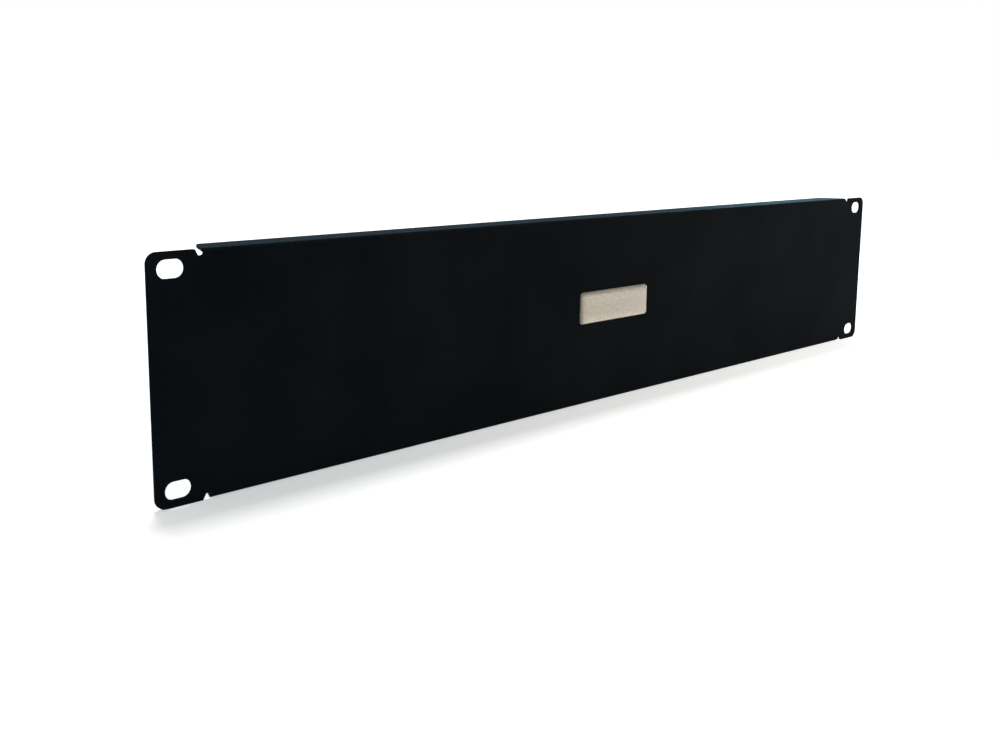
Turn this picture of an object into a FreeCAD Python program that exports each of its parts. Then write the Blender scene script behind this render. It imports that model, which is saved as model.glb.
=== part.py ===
import FreeCAD, Part

import math
import os

from FreeCAD import Vector

# Two-unit blanking panel for a 19-inch rack: one folded steel sheet with a resin-domed badge.
# Millimetres. The origin is the centre of the four mounting slots, on the rear face of the ears,
# which is the face that seats on the rack's rails. +X is to the right seen from the front,
# +Y points into the rack and +Z is up.

# Rack standard
PANEL_WIDTH = 482.6           # over both ears
RACK_UNITS = 2                # height of the panel in rack units
UNIT_PITCH = 44.45            # height of one rack unit
STACKING_GAP = 0.8            # taken off the height so that stacked panels clear each other
SLOT_TO_END = 8.75            # from a slot's centre to the panel's end
SLOT_TO_UNIT_EDGE = 6.35      # from the outer hole of a rack unit to the edge of the unit

# Sheet and folds
SHEET = 1.2                   # thickness of the sheet
BEND_INSIDE_RADIUS = 0.6
FLANGE_DEPTH = 15.0           # from the front face to the free edge of a flange
FLANGE_END_TAPER = 5.3        # how far each flange end is drawn in at its free edge
FLANGE_CORNER_RADIUS = 3.0    # at the free corners of the flanges

# Ears
FLANGE_TO_END = 21.35         # from the panel's end to the end of the folded flanges
EAR_CORNER_RADIUS = 4.0       # the two outer corners of each ear
EAR_INNER_RADIUS = 0.8        # the ear's corner beside the relief notch
SLOT_LENGTH = 10.3
SLOT_WIDTH = 6.5

# Relief notches between the ears and the flanges
RELIEF_CLEARANCE = 0.5        # how far a notch runs past the bend
RELIEF_MOUTH_WIDTH = 3.35
RELIEF_ROOT_WIDTH = 2.25
RELIEF_ROOT_RADIUS = 1.0

# Badge
BADGE_WIDTH = 49.0
BADGE_HEIGHT = 14.8
BADGE_CORNER_RADIUS = 1.6
BADGE_OFFSET_X = -1.2         # from the panel's centre to the label's
BADGE_OFFSET_Z = 2.2
FOIL_THICKNESS = 0.2
DOME_MARGIN = 0.25            # bare rim of foil all round the resin
DOME_RISE = 1.5               # crown of the resin over the foil
DOME_CREST = 0.7              # half height of the level crest of the resin
DOME_FULLNESS = 3.2           # exponent of the crown's section: 2 is an ellipse, more is fuller
DOME_STEPS = 8                # sections from the rim to the crest

# Worked out from the sizes above
HALF_WIDTH = PANEL_WIDTH / 2
HALF_HEIGHT = (RACK_UNITS * UNIT_PITCH - STACKING_GAP) / 2
SLOT_PITCH_X = PANEL_WIDTH - 2 * SLOT_TO_END
SLOT_PITCH_Z = RACK_UNITS * UNIT_PITCH - 2 * SLOT_TO_UNIT_EDGE
BEND_OUTSIDE_RADIUS = BEND_INSIDE_RADIUS + SHEET
FLANGE_END_X = HALF_WIDTH - FLANGE_TO_END
FLANGE_CORNER_X = FLANGE_END_X - FLANGE_END_TAPER
RELIEF_MOUTH_X = FLANGE_END_X + RELIEF_MOUTH_WIDTH
RELIEF_ROOT_X = FLANGE_END_X + RELIEF_ROOT_WIDTH
RELIEF_DEPTH = BEND_OUTSIDE_RADIUS + RELIEF_CLEARANCE
JOINT_X = FLANGE_END_X + RELIEF_ROOT_WIDTH / 2   # where the flat ears meet the folded middle
REAR_Y = 0.0
FRONT_Y = REAR_Y - SHEET
FLANGE_EDGE_Y = FRONT_Y + FLANGE_DEPTH
TAPER_START_Y = FRONT_Y + BEND_OUTSIDE_RADIUS
FOIL_FRONT_Y = FRONT_Y - FOIL_THICKNESS
CUT_SPARE = 1.0               # how far a cutting tool runs past what it cuts
SAME_PLACE = 1e-4             # two points closer than this are one


def rounded_face(corners, place):
    """A flat face with straight sides and rounded corners.

    corners holds (u, v, radius) in order round the face; place(u, v) sets a point in space.
    """
    count = len(corners)
    arcs = []
    for index, (u, v, radius) in enumerate(corners):
        corner = Vector(u, v, 0)
        back = Vector(*corners[index - 1][:2], 0) - corner
        ahead = Vector(*corners[(index + 1) % count][:2], 0) - corner
        half_angle = back.getAngle(ahead) / 2
        back.normalize()
        ahead.normalize()
        reach = radius / math.tan(half_angle)
        bulge = radius / math.sin(half_angle) - radius
        start = corner + back * reach
        middle = corner + (back + ahead).normalize() * bulge
        end = corner + ahead * reach
        arcs.append([place(point.x, point.y) for point in (start, middle, end)])
    edges = []
    for index, (start, middle, end) in enumerate(arcs):
        if start.distanceToPoint(end) > SAME_PLACE:
            edges.append(Part.Arc(start, middle, end).toShape())
        next_start = arcs[(index + 1) % count][0]
        if end.distanceToPoint(next_start) > SAME_PLACE:
            edges.append(Part.makeLine(end, next_start))
    return Part.Face(Part.Wire(edges))


def rounded_rectangle(middle_u, middle_v, width, height, radius):
    """The corners of an upright rectangle with one radius all round."""
    signs = [(-1, -1), (1, -1), (1, 1), (-1, 1)]
    return [(middle_u + s * width / 2, middle_v + t * height / 2, radius) for s, t in signs]


def at_depth(y):
    """Places (x, z) on a plane parallel to the front face."""
    return lambda x, z: Vector(x, y, z)


def at_station(x):
    """Places (y, z) on a plane square to the panel's length."""
    return lambda y, z: Vector(x, y, z)


def at_level(z):
    """Places (x, y) on a level plane."""
    return lambda x, y: Vector(x, y, z)


def folded_middle():
    """The face and its two flanges: the folded section run along the panel."""
    inside_z = HALF_HEIGHT - SHEET
    section = [
        (FRONT_Y, -HALF_HEIGHT, BEND_OUTSIDE_RADIUS),
        (FLANGE_EDGE_Y, -HALF_HEIGHT, 0),
        (FLANGE_EDGE_Y, -inside_z, 0),
        (REAR_Y, -inside_z, BEND_INSIDE_RADIUS),
        (REAR_Y, inside_z, BEND_INSIDE_RADIUS),
        (FLANGE_EDGE_Y, inside_z, 0),
        (FLANGE_EDGE_Y, HALF_HEIGHT, 0),
        (FRONT_Y, HALF_HEIGHT, BEND_OUTSIDE_RADIUS),
    ]
    return rounded_face(section, at_station(-JOINT_X)).extrude(Vector(2 * JOINT_X, 0, 0))


def ear(side):
    """One flat ear, from the folded middle out to the panel's end."""
    outline = [
        (side * JOINT_X, -HALF_HEIGHT, 0),
        (side * HALF_WIDTH, -HALF_HEIGHT, EAR_CORNER_RADIUS),
        (side * HALF_WIDTH, HALF_HEIGHT, EAR_CORNER_RADIUS),
        (side * JOINT_X, HALF_HEIGHT, 0),
    ]
    return rounded_face(outline, at_depth(FRONT_Y)).extrude(Vector(0, SHEET, 0))


def relief_cutter(side, level):
    """The notch between an ear and a flange: upright beside the flange, slanted on the ear."""
    root_z = HALF_HEIGHT - RELIEF_DEPTH
    top_z = HALF_HEIGHT + CUT_SPARE
    slant = (RELIEF_MOUTH_X - RELIEF_ROOT_X) / RELIEF_DEPTH
    outline = [
        (side * FLANGE_END_X, level * top_z, 0),
        (side * FLANGE_END_X, level * root_z, RELIEF_ROOT_RADIUS),
        (side * RELIEF_ROOT_X, level * root_z, RELIEF_ROOT_RADIUS),
        (side * (RELIEF_MOUTH_X + slant * CUT_SPARE), level * top_z, 0),
    ]
    reach = FLANGE_DEPTH + 2 * CUT_SPARE
    return rounded_face(outline, at_depth(FRONT_Y - CUT_SPARE)).extrude(Vector(0, reach, 0))


def taper_cutter(side):
    """Draws in the ends of both flanges on one side, from the bend to their free edges."""
    past_edge_y = FLANGE_EDGE_Y + CUT_SPARE
    slant = FLANGE_END_TAPER / (FLANGE_EDGE_Y - TAPER_START_Y)
    outline = [
        (side * FLANGE_END_X, TAPER_START_Y, 0),
        (side * (FLANGE_CORNER_X - slant * CUT_SPARE), past_edge_y, 0),
        (side * JOINT_X, past_edge_y, 0),
        (side * JOINT_X, TAPER_START_Y, 0),
    ]
    return rounded_face(outline, at_level(-HALF_HEIGHT)).extrude(Vector(0, 0, 2 * HALF_HEIGHT))


def slot_cutter(side, level):
    """One obround mounting slot, long way across the ear."""
    middle_x = side * SLOT_PITCH_X / 2
    middle_z = level * SLOT_PITCH_Z / 2
    outline = rounded_rectangle(middle_x, middle_z, SLOT_LENGTH, SLOT_WIDTH, SLOT_WIDTH / 2)
    reach = SHEET + 2 * CUT_SPARE
    return rounded_face(outline, at_depth(FRONT_Y - CUT_SPARE)).extrude(Vector(0, reach, 0))


def edges_at(shape, middles):
    """The edges of a shape whose middles lie at the given points."""
    def matches(edge):
        return any(edge.CenterOfMass.distanceToPoint(point) < SAME_PLACE for point in middles)
    return [edge for edge in shape.Edges if matches(edge)]


def folded_panel():
    """The whole sheet: face, flanges, ears, notches and slots in one piece."""
    corners = [(side, level) for side in (-1, 1) for level in (-1, 1)]
    sheet = folded_middle().fuse([ear(-1), ear(1)])
    cutters = [taper_cutter(-1), taper_cutter(1)]
    for side, level in corners:
        cutters.append(relief_cutter(side, level))
        cutters.append(slot_cutter(side, level))
    sheet = sheet.cut(cutters).removeSplitter()
    ear_y = FRONT_Y + SHEET / 2
    flange_z = HALF_HEIGHT - SHEET / 2
    ear_points = [Vector(s * RELIEF_MOUTH_X, ear_y, t * HALF_HEIGHT) for s, t in corners]
    flange_points = [Vector(s * FLANGE_CORNER_X, FLANGE_EDGE_Y, t * flange_z) for s, t in corners]
    sheet = sheet.makeFillet(EAR_INNER_RADIUS, edges_at(sheet, ear_points))
    return sheet.makeFillet(FLANGE_CORNER_RADIUS, edges_at(sheet, flange_points))


def badge_face(inset, radius, y):
    """The badge's outline, drawn in all round, on a plane parallel to the front face."""
    width = BADGE_WIDTH - 2 * inset
    height = BADGE_HEIGHT - 2 * inset
    outline = rounded_rectangle(BADGE_OFFSET_X, BADGE_OFFSET_Z, width, height, radius)
    return rounded_face(outline, at_depth(y))


def badge_foil():
    """The label, flat on the front face."""
    return badge_face(0, BADGE_CORNER_RADIUS, FRONT_Y).extrude(Vector(0, -FOIL_THICKNESS, 0))


def badge_dome():
    """The cast resin on the label: sections that draw in and rise to a level crest."""
    rim_half_height = BADGE_HEIGHT / 2 - DOME_MARGIN
    rim_radius = BADGE_CORNER_RADIUS - DOME_MARGIN
    crest_angle = math.acos(DOME_CREST / rim_half_height)
    sections = []
    for step in range(DOME_STEPS + 1):
        share = math.cos(crest_angle * step / DOME_STEPS)
        inset = DOME_MARGIN + rim_half_height * (1 - share)
        rise = DOME_RISE * (1 - share ** DOME_FULLNESS) ** (1 / DOME_FULLNESS)
        sections.append(badge_face(inset, rim_radius * share, FOIL_FRONT_Y - rise).OuterWire)
    return Part.makeLoft(sections, True)


def main():
    os.makedirs("parts", exist_ok=True)
    for make in (folded_panel, badge_foil, badge_dome):
        make().exportStep(f"parts/{make.__name__}.step")


main()
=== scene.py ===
import math
from collections import namedtuple

import bmesh
import bpy
from mathutils import Matrix, Vector


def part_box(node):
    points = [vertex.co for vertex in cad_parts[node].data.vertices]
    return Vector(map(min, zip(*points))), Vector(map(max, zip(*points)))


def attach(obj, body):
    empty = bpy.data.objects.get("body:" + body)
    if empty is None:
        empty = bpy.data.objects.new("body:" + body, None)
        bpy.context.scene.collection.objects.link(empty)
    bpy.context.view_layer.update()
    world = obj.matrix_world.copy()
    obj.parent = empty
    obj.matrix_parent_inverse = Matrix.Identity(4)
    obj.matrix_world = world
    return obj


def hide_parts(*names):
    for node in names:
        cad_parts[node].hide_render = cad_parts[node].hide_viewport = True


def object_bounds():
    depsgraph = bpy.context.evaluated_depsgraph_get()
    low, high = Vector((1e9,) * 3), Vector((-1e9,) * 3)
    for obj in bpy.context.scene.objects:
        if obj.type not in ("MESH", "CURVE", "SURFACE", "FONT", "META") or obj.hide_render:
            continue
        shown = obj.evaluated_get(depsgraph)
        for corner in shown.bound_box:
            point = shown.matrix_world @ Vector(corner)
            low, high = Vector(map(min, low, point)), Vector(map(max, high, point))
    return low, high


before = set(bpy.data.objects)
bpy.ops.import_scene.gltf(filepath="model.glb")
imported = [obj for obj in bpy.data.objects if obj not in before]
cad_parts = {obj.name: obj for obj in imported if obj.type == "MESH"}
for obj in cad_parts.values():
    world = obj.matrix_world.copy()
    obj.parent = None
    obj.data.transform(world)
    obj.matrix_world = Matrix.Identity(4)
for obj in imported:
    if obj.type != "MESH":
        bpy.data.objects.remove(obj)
cad_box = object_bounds()

# Looks of the two-unit blanking panel: powder coat on the folded sheet, brushed foil under cast
# resin on the badge. Metres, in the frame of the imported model.

MILLIMETRE = 0.001

# Folded sheet
WELD = 1e-6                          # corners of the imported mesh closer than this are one
FLAT_ANGLE = math.radians(0.5)       # faces that meet flatter than this are one
SHARP_ANGLE = math.radians(40)       # cut edges turn more than this, bends less per facet
COAT_EDGE = 0.16 * MILLIMETRE        # the coat's rounding over a cut edge
COAT_EDGE_STEPS = 2

# Cast resin
DOME_CORNER_RADIUS = 1.35 * MILLIMETRE
DOME_FULLNESS = 5.0                  # exponent of the crown's section: 2 is an ellipse
DOME_CORNER_POINTS = 12
DOME_RINGS = 36
DOME_BEDDING = 0.05 * MILLIMETRE     # how far the resin reaches into the foil it is bonded to

# Finishes. A scale is how many features of a noise lie along a metre.
NOISE_LOW, NOISE_HIGH = 0.3, 0.7     # a noise's values lie mostly between these

COAT_DARK = (0.0023, 0.0028, 0.0034)
COAT_LIGHT = (0.0050, 0.0056, 0.0063)
COAT_CLOUDS_SCALE = 22
COAT_PEEL_SCALE = 750
COAT_GRAIN_SCALE = 3200
COAT_SHADE_LOW, COAT_SHADE_HIGH = 0.45, 1.05    # clouds and specks added up
COAT_ROUGHNESS = (0.58, 0.70)
COAT_GRAIN_HEIGHT = 0.35             # share of the orange peel's height
COAT_BUMP = 0.6
COAT_BUMP_DEPTH = 0.03 * MILLIMETRE
COAT_GLOSS = 0.005
COAT_SHEEN = 0.033
COAT_SHEEN_ROUGHNESS = 0.3
COAT_SHEEN_TINT = (0.24, 0.68, 1.0)

FOIL_DARK = (0.26, 0.226, 0.185)
FOIL_LIGHT = (0.38, 0.334, 0.280)
FOIL_STREAKS_SCALE = 9000
FOIL_STREAKS_STRETCH = (0.06, 1, 1)  # streaks run along the label
FOIL_STREAKS_SHARE = 0.45
FOIL_FLECKS_SCALE = 700
FOIL_FLECKS_SHARE = 0.55
FOIL_SHADE_LOW, FOIL_SHADE_HIGH = 0.36, 0.64
FOIL_ROUGHNESS = (0.32, 0.5)
FOIL_BUMP = 0.35
FOIL_BUMP_DEPTH = 0.01 * MILLIMETRE

RESIN_COLOUR = (0.97, 0.97, 0.95)
RESIN_TO_LAMPS = (0.95, 0.95, 0.94)  # light it lets through to the foil
RESIN_IOR = 1.5
RESIN_SWELL_SCALE = 160
RESIN_BUMP = 0.15
RESIN_BUMP_DEPTH = 0.05 * MILLIMETRE
RESIN_HAZE_SCALE = 500
RESIN_HAZE = (0.02, 0.06)

# Camera
CAMERA_PLACE = (-0.41606, -0.33991, 0.08660)
CAMERA_HEADING = 44.93               # degrees from +Y towards +X
CAMERA_DIP = 9.389                   # degrees below the horizon
CAMERA_ROLL = 0.6226                 # degrees, anticlockwise
CAMERA_LENS = 40.44
CAMERA_SENSOR = 36.0
CAMERA_SHIFT_Y = -0.065

# Floor and backdrop
FLOOR_HALF = 5.0
FLOOR_COLOUR = (0.8, 0.8, 0.8)
FLOOR_GRAIN_SCALE = 300
FLOOR_GRAIN_SHADE = 0.99             # the grain's darker colour, as a share of the lighter
# The floor's glow is dimmed around the panel's foot: painted shade that deepens the lamps' shadow
# there and fades to white further off.
FLOOR_GLOW_IN_PAINTED_SHADE = 0.28               # floor's glow at the middle of its painted shade, for what looks at it
FLOOR_LIFT_FAR = 1.0
FLOOR_PAINTED_SHADE_CENTRE = (-0.17, 0, 0)    # middle of the floor's painted shade, 71 mm in from the panel's left end
FLOOR_LIFT_REACH = 1.60              # how far from there the floor is as white as the backdrop
FLOOR_LIFT_CURVE = 1.25
AMBIENT = 0.40                       # world's light on the object

# Lamps: size is width and height, power is in watts. A lamp that isn't glossy shows in no
# reflection, and one that isn't diffuse shows only in reflections.
Lamp = namedtuple("Lamp", "name place target size power colour glossy diffuse")
LAMPS = (
    Lamp("overhead", (-0.05, 0.31, 1.1), (-0.05, 0.31, 0), (0.22, 0.30), 9.0,
         (1.0, 1.0, 1.0), glossy=False, diffuse=True),
    Lamp("cool_fill", (-0.9, -0.8, 0.12), (-0.1, 0, 0), (0.6, 0.3), 4.0,
         (0.20, 0.68, 1.0), glossy=True, diffuse=True),
    Lamp("warm_fill", (0.50, -0.55, 0.27), (0.2, 0, 0), (0.2, 0.2), 4.6,
         (1.0, 0.95, 0.86), glossy=False, diffuse=True),
    Lamp("edge_strip", (0.75, -0.27, 0.10), (0, 0, 0), (0.06, 0.28), 0.8,
         (1.0, 1.0, 1.0), glossy=True, diffuse=False),
    Lamp("rim", (0.72, 0.25, 0.20), (0.15, 0, 0.04), (0.3, 0.15), 1.9,
         (0.35, 0.75, 1.0), glossy=True, diffuse=True),
)


def add_node(tree, kind, inputs=None, **settings):
    """A new node: its settings set, its inputs linked from sockets or set to plain values."""
    made = tree.nodes.new(kind)
    for name, value in settings.items():
        setattr(made, name, value)
    for name, value in (inputs or {}).items():
        if isinstance(value, bpy.types.NodeSocket):
            tree.links.new(value, made.inputs[name])
        else:
            made.inputs[name].default_value = value
    return made


def maths(tree, operation, *values):
    """The result of one Math node."""
    return add_node(tree, "ShaderNodeMath", dict(enumerate(values)), operation=operation).outputs[0]


def new_material(name):
    """A material with an empty node tree and its output node."""
    material = bpy.data.materials.new(name)
    material.use_nodes = True
    material.node_tree.nodes.clear()
    return material, material.node_tree, material.node_tree.nodes.new("ShaderNodeOutputMaterial")


def new_object(name, mesh):
    """A linked object at the origin."""
    made = bpy.data.objects.new(name, mesh)
    bpy.context.scene.collection.objects.link(made)
    return made


# Finishes

def noise(tree, place, scale, detail=2.0, roughness=0.5):
    """The value of a noise whose features are about 1/scale metres apart."""
    inputs = {"Vector": place, "Scale": scale, "Detail": detail, "Roughness": roughness}
    return add_node(tree, "ShaderNodeTexNoise", inputs).outputs["Fac"]


def ramp(tree, value, low, high, out_low, out_high):
    """A value mapped from the range low to high onto another, held at the ends."""
    inputs = {"Value": value, "From Min": low, "From Max": high, "To Min": out_low,
              "To Max": out_high}
    return add_node(tree, "ShaderNodeMapRange", inputs).outputs["Result"]


def blend_colours(tree, share, first, second):
    """A colour between two, by share."""
    mix = add_node(tree, "ShaderNodeMixRGB", {
        "Fac": share, "Color1": (*first, 1), "Color2": (*second, 1)})
    return mix.outputs["Color"]


def black_powder_coat():
    """Near-black satin powder coat: orange peel, fine grain and a faint cloudiness."""
    material, tree, output = new_material("black_powder_coat")
    place = add_node(tree, "ShaderNodeTexCoord").outputs["Object"]
    clouds = noise(tree, place, COAT_CLOUDS_SCALE, detail=3)
    peel = noise(tree, place, COAT_PEEL_SCALE, detail=1.5)
    grain = noise(tree, place, COAT_GRAIN_SCALE)
    specks = maths(tree, "MULTIPLY", grain, peel)
    shade = ramp(tree, maths(tree, "ADD", clouds, specks), COAT_SHADE_LOW, COAT_SHADE_HIGH, 0, 1)
    colour = blend_colours(tree, shade, COAT_DARK, COAT_LIGHT)
    roughness = ramp(tree, grain, NOISE_LOW, NOISE_HIGH, *COAT_ROUGHNESS)
    height = maths(tree, "ADD", peel, maths(tree, "MULTIPLY", grain, COAT_GRAIN_HEIGHT))
    bump = add_node(tree, "ShaderNodeBump", {
        "Strength": COAT_BUMP, "Distance": COAT_BUMP_DEPTH, "Height": height})
    coat = add_node(tree, "ShaderNodeBsdfPrincipled", {
        "Base Color": colour, "Roughness": roughness, "Normal": bump.outputs["Normal"],
        "Specular IOR Level": COAT_GLOSS, "Sheen Weight": COAT_SHEEN,
        "Sheen Roughness": COAT_SHEEN_ROUGHNESS, "Sheen Tint": (*COAT_SHEEN_TINT, 1)})
    tree.links.new(coat.outputs["BSDF"], output.inputs["Surface"])
    return material


def brushed_foil():
    """Satin metal foil with a fine grain along its length."""
    material, tree, output = new_material("brushed_foil")
    place = add_node(tree, "ShaderNodeTexCoord").outputs["Object"]
    stretched = add_node(tree, "ShaderNodeMapping", {
        "Vector": place, "Scale": FOIL_STREAKS_STRETCH})
    streaks = noise(tree, stretched.outputs["Vector"], FOIL_STREAKS_SCALE, detail=3, roughness=0.6)
    flecks = noise(tree, place, FOIL_FLECKS_SCALE, detail=3)
    shade = maths(tree, "ADD", maths(tree, "MULTIPLY", streaks, FOIL_STREAKS_SHARE),
                  maths(tree, "MULTIPLY", flecks, FOIL_FLECKS_SHARE))
    shade = ramp(tree, shade, FOIL_SHADE_LOW, FOIL_SHADE_HIGH, 0, 1)
    colour = blend_colours(tree, shade, FOIL_DARK, FOIL_LIGHT)
    bump = add_node(tree, "ShaderNodeBump", {
        "Strength": FOIL_BUMP, "Distance": FOIL_BUMP_DEPTH, "Height": streaks})
    roughness = ramp(tree, streaks, NOISE_LOW, NOISE_HIGH, *FOIL_ROUGHNESS)
    foil = add_node(tree, "ShaderNodeBsdfPrincipled", {
        "Base Color": colour, "Metallic": 1.0, "Roughness": roughness,
        "Normal": bump.outputs["Normal"]})
    tree.links.new(foil.outputs["BSDF"], output.inputs["Surface"])
    return material


def clear_resin():
    """Cast polyurethane: clear, glossy and very slightly uneven."""
    material, tree, output = new_material("clear_resin")
    place = add_node(tree, "ShaderNodeTexCoord").outputs["Object"]
    swell = noise(tree, place, RESIN_SWELL_SCALE, detail=1)
    bump = add_node(tree, "ShaderNodeBump", {
        "Strength": RESIN_BUMP, "Distance": RESIN_BUMP_DEPTH, "Height": swell})
    haze = ramp(tree, noise(tree, place, RESIN_HAZE_SCALE), NOISE_LOW, NOISE_HIGH, *RESIN_HAZE)
    resin = add_node(tree, "ShaderNodeBsdfPrincipled", {
        "Base Color": (*RESIN_COLOUR, 1), "Roughness": haze, "IOR": RESIN_IOR,
        "Transmission Weight": 1.0, "Normal": bump.outputs["Normal"]})
    for_lamps = add_node(tree, "ShaderNodeBsdfTransparent", {"Color": (*RESIN_TO_LAMPS, 1)})
    path = add_node(tree, "ShaderNodeLightPath")
    mix = tree.nodes.new("ShaderNodeMixShader")
    tree.links.new(path.outputs["Is Shadow Ray"], mix.inputs["Fac"])
    tree.links.new(resin.outputs["BSDF"], mix.inputs[1])
    tree.links.new(for_lamps.outputs["BSDF"], mix.inputs[2])
    tree.links.new(mix.outputs["Shader"], output.inputs["Surface"])
    return material


# Pieces

def coated_sheet(coat):
    """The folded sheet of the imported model, its facets joined and its cut edges rounded."""
    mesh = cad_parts["folded_panel"].data.copy()
    mesh.name = "coated_sheet"
    shape = bmesh.new()
    shape.from_mesh(mesh)
    bmesh.ops.remove_doubles(shape, verts=shape.verts, dist=WELD)
    bmesh.ops.dissolve_limit(shape, angle_limit=FLAT_ANGLE, verts=shape.verts, edges=shape.edges)
    shape.to_mesh(mesh)
    shape.free()
    mesh.materials.clear()
    mesh.materials.append(coat)
    mesh.shade_smooth()
    sheet = new_object("coated_sheet", mesh)
    bevel = sheet.modifiers.new("coat over cut edges", "BEVEL")
    bevel.width = COAT_EDGE
    bevel.segments = COAT_EDGE_STEPS
    bevel.limit_method = "ANGLE"
    bevel.angle_limit = SHARP_ANGLE
    bevel.harden_normals = True
    even = sheet.modifiers.new("flat faces stay flat", "WEIGHTED_NORMAL")
    even.keep_sharp = True
    as_plain_mesh(sheet)
    return sheet


def as_plain_mesh(piece):
    """Puts the evaluated mesh in place of the modifiers."""
    evaluated = piece.evaluated_get(bpy.context.evaluated_depsgraph_get())
    mesh = bpy.data.meshes.new_from_object(evaluated)
    piece.modifiers.clear()
    piece.data = mesh


def dome_tree():
    """Geometry nodes for a cast resin crown on a rounded rectangle: rim at z = 0, crest up +z.

    Step 0 of the section is the bed, sunk under the rim, step 1 is the rim and the last the crest.
    """
    tree = bpy.data.node_groups.new("cast_resin_crown", "GeometryNodeTree")
    face = tree.interface
    face.new_socket("Geometry", in_out="OUTPUT", socket_type="NodeSocketGeometry")
    for name in ("Length", "Height", "Corner Radius", "Rise", "Fullness", "Bedding"):
        face.new_socket(name, in_out="INPUT", socket_type="NodeSocketFloat")
    for name in ("Corner Points", "Rings"):
        face.new_socket(name, in_out="INPUT", socket_type="NodeSocketInt")
    face.new_socket("Resin", in_out="INPUT", socket_type="NodeSocketMaterial")
    given = tree.nodes.new("NodeGroupInput").outputs

    rectangle = add_node(tree, "GeometryNodeCurvePrimitiveQuadrilateral",
                         {"Width": given["Length"], "Height": given["Height"]})
    rim = add_node(tree, "GeometryNodeFilletCurve", {
        "Curve": rectangle.outputs["Curve"], "Count": given["Corner Points"],
        "Radius": given["Corner Radius"]}, mode="POLY")
    rim_places = tree.nodes.new("GeometryNodeCaptureAttribute")
    rim_places.capture_items.new("VECTOR", "Rim")
    tree.links.new(rim.outputs["Curve"], rim_places.inputs["Geometry"])
    tree.links.new(add_node(tree, "GeometryNodeInputPosition").outputs[0],
                   rim_places.inputs["Rim"])

    ring_count = maths(tree, "ADD", given["Rings"], 2)    # and the bed and the rim
    rise_line = add_node(tree, "GeometryNodeCurvePrimitiveLine",
                         {"Start": (0, 0, 0), "End": (0, 0, 1)})
    steps = add_node(tree, "GeometryNodeResampleCurve",
                     {"Curve": rise_line.outputs["Curve"], "Count": ring_count}, mode="COUNT")
    step_number = tree.nodes.new("GeometryNodeCaptureAttribute")
    step_number.capture_items.new("FLOAT", "Step")
    tree.links.new(steps.outputs["Curve"], step_number.inputs["Geometry"])
    tree.links.new(add_node(tree, "GeometryNodeInputIndex").outputs[0],
                   step_number.inputs["Step"])

    swept = add_node(tree, "GeometryNodeCurveToMesh", {
        "Curve": rim_places.outputs["Geometry"], "Profile Curve": step_number.outputs["Geometry"]})

    rim_parts = add_node(tree, "ShaderNodeSeparateXYZ", {"Vector": rim_places.outputs["Rim"]})
    spine_length = maths(tree, "SUBTRACT", given["Length"], given["Height"])
    spine_half = maths(tree, "MULTIPLY", spine_length, 0.5)
    spine_x = add_node(tree, "ShaderNodeClamp", {
        "Value": rim_parts.outputs["X"], "Min": maths(tree, "MULTIPLY", spine_half, -1),
        "Max": spine_half}).outputs[0]
    turn = maths(tree, "DIVIDE", maths(tree, "SUBTRACT", step_number.outputs["Step"], 1),
                 given["Rings"])
    turn = maths(tree, "MAXIMUM", turn, 0)
    share = maths(tree, "COSINE", maths(tree, "MULTIPLY", turn, math.pi / 2))
    share = maths(tree, "MAXIMUM", share, 0)
    flat_x = maths(tree, "MULTIPLY_ADD", maths(tree, "SUBTRACT", rim_parts.outputs["X"], spine_x),
                   share, spine_x)
    flat_y = maths(tree, "MULTIPLY", rim_parts.outputs["Y"], share)
    fallen = maths(tree, "SUBTRACT", 1, maths(tree, "POWER", share, given["Fullness"]))
    level = maths(tree, "POWER", fallen, maths(tree, "DIVIDE", 1, given["Fullness"]))
    level = maths(tree, "MULTIPLY", level, given["Rise"])
    is_bed = maths(tree, "LESS_THAN", step_number.outputs["Step"], 0.5)
    level = maths(tree, "SUBTRACT", level, maths(tree, "MULTIPLY", is_bed, given["Bedding"]))
    placed = add_node(tree, "ShaderNodeCombineXYZ", {"X": flat_x, "Y": flat_y, "Z": level})
    crown = add_node(tree, "GeometryNodeSetPosition", {
        "Geometry": swept.outputs["Mesh"], "Position": placed.outputs["Vector"]})

    base = add_node(tree, "GeometryNodeFillCurve", {"Curve": rim.outputs["Curve"]}, mode="NGONS")
    sunk = add_node(tree, "ShaderNodeCombineXYZ", {
        "Z": maths(tree, "MULTIPLY", given["Bedding"], -1)})
    base = add_node(tree, "GeometryNodeTransform", {
        "Geometry": base.outputs["Mesh"], "Translation": sunk.outputs["Vector"]})
    whole = tree.nodes.new("GeometryNodeJoinGeometry")
    tree.links.new(crown.outputs["Geometry"], whole.inputs[0])
    tree.links.new(base.outputs["Geometry"], whole.inputs[0])
    welded = add_node(tree, "GeometryNodeMergeByDistance", {
        "Geometry": whole.outputs[0], "Distance": WELD})
    smooth = add_node(tree, "GeometryNodeSetShadeSmooth", {"Geometry": welded.outputs["Geometry"]})
    real = add_node(tree, "GeometryNodeRealizeInstances", {"Geometry": smooth.outputs["Geometry"]})
    dressed = add_node(tree, "GeometryNodeSetMaterial", {
        "Geometry": real.outputs["Geometry"], "Material": given["Resin"]})
    add_node(tree, "NodeGroupOutput", {"Geometry": dressed.outputs["Geometry"]})
    return tree


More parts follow.
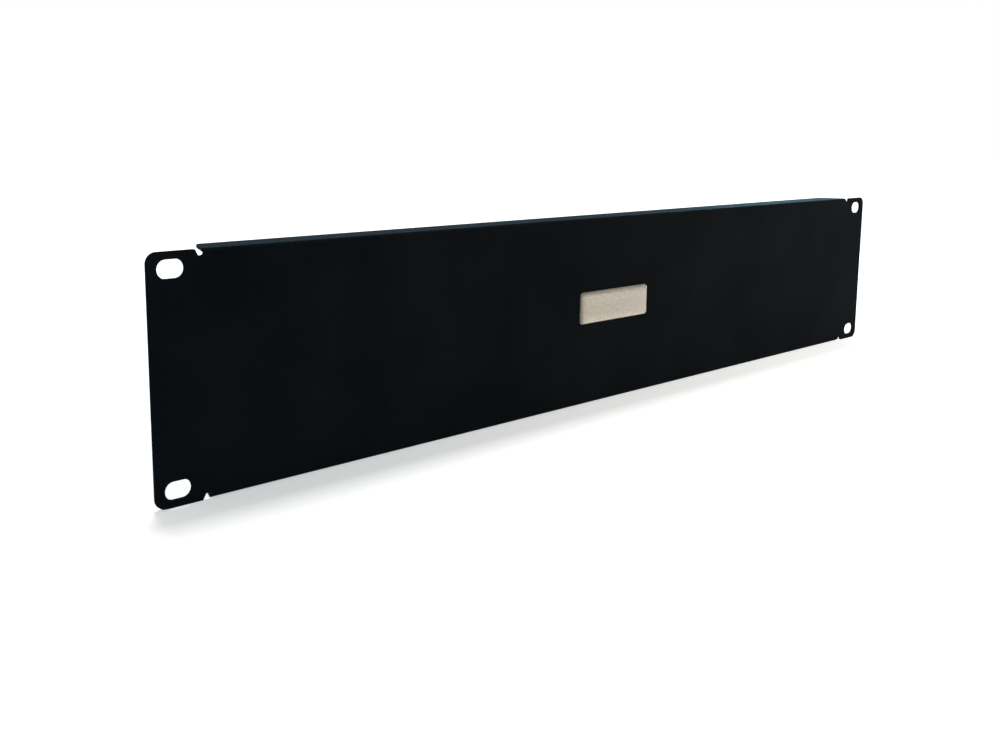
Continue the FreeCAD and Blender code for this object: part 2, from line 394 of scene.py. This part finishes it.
def resin_dome(resin):
    """The cast resin, from the rule of its crown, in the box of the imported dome."""
    low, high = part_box("badge_dome")
    dome = new_object("resin_dome", bpy.data.meshes.new("resin_dome"))
    tree = dome_tree()
    crown = dome.modifiers.new("crown", "NODES")
    crown.node_group = tree
    values = {
        "Length": high.x - low.x, "Height": high.z - low.z, "Corner Radius": DOME_CORNER_RADIUS,
        "Rise": high.y - low.y, "Fullness": DOME_FULLNESS, "Bedding": DOME_BEDDING,
        "Corner Points": DOME_CORNER_POINTS, "Rings": DOME_RINGS, "Resin": resin}
    for socket in tree.interface.items_tree:
        if socket.in_out == "INPUT":
            crown[socket.identifier] = values[socket.name]
    as_plain_mesh(dome)
    middle = (low + high) / 2
    onto_badge = (Matrix.Translation((middle.x, high.y, middle.z))
                  @ Matrix.Rotation(math.pi / 2, 4, "X"))
    dome.data.transform(onto_badge)
    shape = bmesh.new()
    shape.from_mesh(dome.data)
    bmesh.ops.recalc_face_normals(shape, faces=shape.faces)
    shape.to_mesh(dome.data)
    shape.free()
    dome.data.set_sharp_from_angle(angle=SHARP_ANGLE)
    return dome


# Studio

def seen_directly(tree):
    """1 for rays from the camera, a mirror or through glass, 0 for light on the object."""
    path = add_node(tree, "ShaderNodeLightPath").outputs
    mirror = maths(tree, "MAXIMUM", path["Is Glossy Ray"], path["Is Transmission Ray"])
    return maths(tree, "MAXIMUM", path["Is Camera Ray"], mirror)


def pale_floor(level):
    """A white floor that keeps the panel's shadow, with painted shade in its glow near the panel,
    and clears to the backdrop's white.
    """
    material, tree, output = new_material("pale_floor")
    place = add_node(tree, "ShaderNodeTexCoord").outputs["Object"]
    distance = add_node(tree, "ShaderNodeVectorMath", {0: place, 1: FLOOR_PAINTED_SHADE_CENTRE},
                        operation="DISTANCE").outputs["Value"]
    share = maths(tree, "POWER", ramp(tree, distance, 0, FLOOR_LIFT_REACH, 0, 1), FLOOR_LIFT_CURVE)
    # painted shade: the glow is lowest near the panel and rises to full white with distance
    glow_with_painted_shade = ramp(tree, share, 0, 1, FLOOR_GLOW_IN_PAINTED_SHADE, FLOOR_LIFT_FAR)
    grain = ramp(tree, noise(tree, place, FLOOR_GRAIN_SCALE), NOISE_LOW, NOISE_HIGH, 0, 1)
    darker = [part * FLOOR_GRAIN_SHADE for part in FLOOR_COLOUR]
    colour = blend_colours(tree, grain, FLOOR_COLOUR, darker)
    matt = add_node(tree, "ShaderNodeBsdfDiffuse", {"Color": colour})
    glow = add_node(tree, "ShaderNodeEmission", {
        "Strength": maths(tree, "MULTIPLY", seen_directly(tree), glow_with_painted_shade)})
    both = tree.nodes.new("ShaderNodeAddShader")
    tree.links.new(matt.outputs[0], both.inputs[0])
    tree.links.new(glow.outputs[0], both.inputs[1])
    tree.links.new(both.outputs[0], output.inputs["Surface"])
    mesh = bpy.data.meshes.new("floor")
    shape = bmesh.new()
    bmesh.ops.create_grid(shape, x_segments=1, y_segments=1, size=FLOOR_HALF)
    shape.to_mesh(mesh)
    shape.free()
    mesh.transform(Matrix.Translation((0, 0, level)))
    mesh.materials.append(material)
    floor = new_object("floor", mesh)


def white_world():
    """White to the eye and in mirrors, a plain soft light on the object."""
    world = bpy.data.worlds.new("studio")
    bpy.context.scene.world = world
    world.use_nodes = True
    tree = world.node_tree
    tree.nodes.clear()
    strength = ramp(tree, seen_directly(tree), 0, 1, AMBIENT, 1)
    white = add_node(tree, "ShaderNodeBackground", {"Color": (1, 1, 1, 1), "Strength": strength})
    add_node(tree, "ShaderNodeOutputWorld", {"Surface": white.outputs["Background"]})


def softbox(lamp):
    """An area lamp at its place, turned to its target, its width level and its height upright."""
    data = bpy.data.lights.new(lamp.name, "AREA")
    data.shape = "RECTANGLE"
    data.size, data.size_y = lamp.size
    data.energy = lamp.power
    data.color = lamp.colour
    made = new_object(lamp.name, data)
    made.location = lamp.place
    aim = Vector(lamp.target) - Vector(lamp.place)
    made.rotation_euler = aim.to_track_quat("-Z", "Y").to_euler()
    made.visible_glossy = lamp.glossy
    made.visible_diffuse = lamp.diffuse


def camera():
    """The camera at the panel's left front, a little above it."""
    data = bpy.data.cameras.new("camera")
    data.lens = CAMERA_LENS
    data.sensor_width = CAMERA_SENSOR
    data.shift_y = CAMERA_SHIFT_Y
    made = new_object("camera", data)
    turn = (Matrix.Rotation(-math.radians(CAMERA_HEADING), 4, "Z")
            @ Matrix.Rotation(math.radians(90 - CAMERA_DIP), 4, "X")
            @ Matrix.Rotation(math.radians(CAMERA_ROLL), 4, "Z"))
    made.matrix_world = Matrix.Translation(CAMERA_PLACE) @ turn
    bpy.context.scene.camera = made


sheet = coated_sheet(black_powder_coat())
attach(sheet, "root")
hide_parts("folded_panel")

dome = resin_dome(clear_resin())
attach(dome, "root")
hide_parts("badge_dome")

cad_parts["badge_foil"].material_slots[0].material = brushed_foil()

pale_floor(cad_box[0].z)
white_world()
for lamp in LAMPS:
    softbox(lamp)
camera()
bpy.context.scene.view_settings.view_transform = "Standard"
